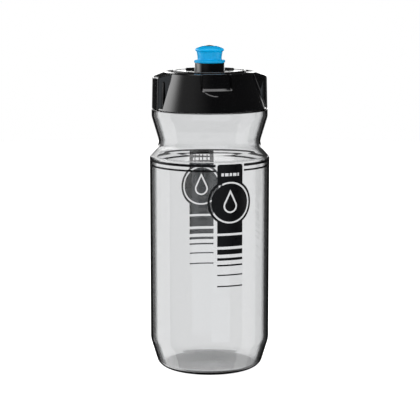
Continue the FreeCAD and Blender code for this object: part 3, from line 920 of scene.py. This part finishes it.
def world():
    """Light from all round: white behind the piece, panels for reflections, and a soft light for the rest."""
    made = bpy.data.worlds.new("studio")
    bpy.context.scene.world = made
    made.use_nodes = True
    tree = made.node_tree
    tree.nodes.clear()
    out = tree.nodes.new("ShaderNodeOutputWorld")
    path = tree.nodes.new("ShaderNodeLightPath")
    x, y, z = parted(tree, tree.nodes.new("ShaderNodeTexCoord").outputs["Generated"])

    def times(a, b):
        return maths(tree, "MULTIPLY", a, b)

    def degrees_of(kind, *values):
        return times(maths(tree, kind, *values), 180.0 / pi)

    def ramp(value, start, end, low=0.0, high=1.0):
        node = tree.nodes.new("ShaderNodeMapRange")
        node.interpolation_type = "SMOOTHSTEP"
        for socket, number in zip(node.inputs[1:5], (start, end, low, high)):
            socket.default_value = number
        tree.links.new(value, node.inputs["Value"])
        return node.outputs[0]

    def window(value, low, high, blur):
        rise = ramp(value, low - blur / 2, low + blur / 2)
        fall = ramp(value, high - blur / 2, high + blur / 2, 1.0, 0.0)
        return times(rise, fall)

    def background(strength, colour=WHITE):
        node = tree.nodes.new("ShaderNodeBackground")
        node.inputs["Color"].default_value = (*colour, 1.0)
        if isinstance(strength, float):
            node.inputs["Strength"].default_value = strength
        else:
            tree.links.new(strength, node.inputs["Strength"])
        return node.outputs[0]

    def joined(a, b):
        node = tree.nodes.new("ShaderNodeAddShader")
        tree.links.new(a, node.inputs[0])
        tree.links.new(b, node.inputs[1])
        return node.outputs[0]

    def chosen(flag, otherwise, then):
        node = tree.nodes.new("ShaderNodeMixShader")
        tree.links.new(path.outputs[flag], node.inputs[0])
        tree.links.new(otherwise, node.inputs[1])
        tree.links.new(then, node.inputs[2])
        return node.outputs[0]

    azimuth = degrees_of("ARCTAN2", x, times(y, -1.0))
    elevation = degrees_of("ARCSINE", z)
    behind = maths(tree, "FLOORED_MODULO", azimuth, 360.0)
    shine = background(ROOM)
    for left, right, low, high, blur_across, blur_up, colour, strength in PANELS:
        across = window(behind if right > ALL_ROUND else azimuth, left, right, blur_across)
        shape = times(across, window(elevation, low, high, blur_up))
        shine = joined(shine, background(times(shape, strength), colour))
    shade_from, shade_to, shade_blur, shade_depth = SHADE
    dusk = window(degrees_of("ARCTAN2", x, y), shade_from + shade_blur / 2, shade_to, shade_blur)
    dusk = maths(tree, "SUBTRACT", 1.0, times(dusk, shade_depth))
    through = background(times(dusk, window(elevation, *OPEN_SKY)))
    surface = chosen("Is Glossy Ray", background(SOFT), shine)
    surface = chosen("Is Transmission Ray", surface, through)
    surface = chosen("Is Camera Ray", surface, background(1.0))
    tree.links.new(surface, out.inputs["Surface"])


def softbox(name, place, target, size, power):
    """A rectangular lamp that lights surfaces but isn't itself seen or mirrored."""
    data = bpy.data.lights.new(name, "AREA")
    data.shape = "RECTANGLE"
    data.size, data.size_y = size
    data.energy = power
    made = bpy.data.objects.new(name, data)
    bpy.context.scene.collection.objects.link(made)
    made.location = place
    made.rotation_euler = (Vector(target) - Vector(place)).to_track_quat("-Z", "Y").to_euler()
    made.visible_camera = False
    made.visible_transmission = False
    made.visible_glossy = False


def floor():
    """A round, nearly white floor that only the camera and soft light see."""
    material, tree, shader = new_material("pale_floor")
    shader.inputs["Base Color"].default_value = (0.9, 0.9, 0.9, 1.0)
    shader.inputs["Roughness"].default_value = 0.9
    shader.inputs["Specular IOR Level"].default_value = 0.1
    shader.inputs["Emission Color"].default_value = (*WHITE, 1.0)
    shader.inputs["Emission Strength"].default_value = FLOOR_GLOW
    mesh = bpy.data.meshes.new("floor")
    angles = [2 * pi * i / FLOOR_POINTS for i in range(FLOOR_POINTS)]
    ring = [(FLOOR_R * cos(a), FLOOR_R * sin(a), 0.0) for a in angles]
    mesh.from_pydata(ring, [], [tuple(range(FLOOR_POINTS))])
    mesh.materials.append(material)
    made = bpy.data.objects.new("floor", mesh)
    bpy.context.scene.collection.objects.link(made)
    made.visible_transmission = False
    made.visible_glossy = False


def camera():
    """The camera in front of the bottle and a little above it, tilted down."""
    data = bpy.data.cameras.new("camera")
    made = bpy.data.objects.new("camera", data)
    bpy.context.scene.collection.objects.link(made)
    made.location = CAMERA_PLACE
    made.rotation_euler = (pi / 2 - CAMERA_DOWN, 0.0, 0.0)
    data.sensor_width = SENSOR
    data.lens = LENS
    data.shift_x = CAMERA_SHIFT
    bpy.context.scene.camera = made


# ---------------------------------------------------------------- build
def dress(obj, material, body=None, replaces=()):
    """Gives a piece its material and slot, and where it is new, its body and the nodes it replaces."""
    obj.data.materials.clear()
    obj.data.materials.append(material)
    if body:
        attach(obj, body)
    if replaces:
        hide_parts(*replaces)


dress(bottle(), clear_plastic(), "bottle", ["bottle_body"])

nodes = frame["nodes"]
dress(cap(), black_plastic(), "cap", ["cap_shell"])
dress(nodes["valve_core"], valve_plastic())
dress(nozzle(), blue_plastic(), "mouthpiece", ["nozzle"])
dress(nodes["nozzle_seal"], rubber("black_rubber", (0.02, 0.02, 0.02)))
dress(nodes["cap_seal"], rubber("gasket_silicone", (0.03, 0.03, 0.03)))

black_ink = ink()
for side, middle in zip(("front", "rear"), STRIPS):
    dress(printed("ink_" + side, strip_shapes(), middle), black_ink, "bottle")
dress(hoops("ink_hoops"), black_ink, "bottle")

world()
floor()
for box in SOFTBOXES:
    softbox(*box)
camera()
bpy.context.scene.view_settings.view_transform = "Standard"
